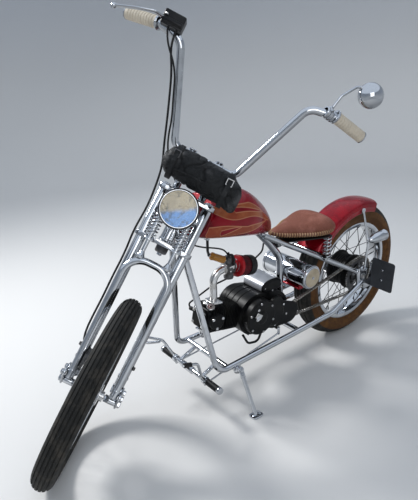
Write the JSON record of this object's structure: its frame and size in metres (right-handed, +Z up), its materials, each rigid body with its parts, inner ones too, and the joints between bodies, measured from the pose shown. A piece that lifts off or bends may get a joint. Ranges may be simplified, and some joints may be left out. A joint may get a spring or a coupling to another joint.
{
  "type": "chopper motorcycle",
  "caption": "Small rigid-frame chopper motorcycle: long springer fork, tall bars, flamed red tank, sprung leather saddle and a horizontal single-cylinder engine, parked on its side stand.",
  "frame": {"origin": "on the floor, in the middle of the parked machine's bounding box", "axes": "+X towards the machine's front, +Y to the rider's left, +Z up; the machine leans to +Y on its side stand with the steering turned to the left"},
  "size_m": [2.0031, 0.7351, 1.467],
  "materials": {
    "bag_leather": "worn",
    "black_plastic": "satin",
    "black_rubber": "matte",
    "brown_leather": "satin",
    "brushed": "brushed",
    "cast_grey": "satin",
    "chain_steel": "oiled",
    "chrome": "polished",
    "deep_red": "gloss",
    "engine_black": "semi-gloss",
    "filter_red": "satin",
    "grip_rubber": "satin",
    "lamp_glass": "clear",
    "plate_grey": "satin",
    "polished_alloy": "polished",
    "tyre_black": "matte",
    "tyre_brown": "matte"
  },
  "bodies": {
    "chassis": {"frame_spine": "chrome", "frame_loop_left": "chrome", "frame_loop_right": "chrome", "frame_stays": "chrome", "foot_bar": "chrome", "foot_controls": "chrome", "crankcase": "engine_black", "cylinder": "engine_black", "cylinder_head": "engine_black", "starter_cover": "polished_alloy", "carburettor": "polished_alloy", "air_filter": "filter_red", "engine_lines": "black_rubber", "exhaust": "chrome", "fuel_tank": "deep_red", "saddle": "brown_leather", "saddle_mount": "engine_black", "battery_can": "chrome", "rear_fender": "deep_red", "fender_struts": "chrome", "rear_axle": "brushed", "tail_lamp": "chrome", "plate_bracket": "plate_grey", "drive_chain": "chain_steel"},
    "steering": {"fork_legs": "chrome", "fork_trees": "chrome", "front_legs": "chrome", "fork_springs": "chrome", "rockers": "chrome", "brake_caliper": "cast_grey", "headlight": "chrome", "headlight_glass": "lamp_glass", "handlebar": "chrome", "grips": "grip_rubber", "brake_control": "black_plastic", "rear_mirror": "chrome", "tool_roll": "bag_leather", "control_cables": "black_rubber"},
    "front_wheel": {"front_tyre": "tyre_black", "front_rim": "chrome", "front_brake_disc": "brushed"},
    "rear_wheel": {"rear_tyre": "tyre_brown", "rear_rim": "chrome", "rear_sprocket": "chain_steel"},
    "side_stand": {"side_stand": "chrome"}
  },
  "joints": [
    {"name": "steering_turn", "type": "hinge", "parent": "chassis", "child": "steering", "pos_m": [0.688, -0.14431, 0.27836], "axis": [-0.584, 0.0813, 0.8077], "range_deg": [-97, 0]},
    {"name": "front_wheel_spin", "type": "hinge", "parent": "steering", "child": "front_wheel", "pos_m": [0.72403, -0.09179, 0.29913], "axis": [-0.608, 0.6155, -0.5016], "continuous": true},
    {"name": "rear_wheel_spin", "type": "hinge", "parent": "chassis", "child": "rear_wheel", "pos_m": [-0.67161, -0.13925, 0.32862], "axis": [0, 0.995, -0.1002], "continuous": true},
    {"name": "side_stand_fold", "type": "hinge", "parent": "chassis", "child": "side_stand", "pos_m": [0.1461, 0.00797, 0.17371], "axis": [0.0078, 0.9034, 0.4288], "range_deg": [0, 82]}
  ]
}
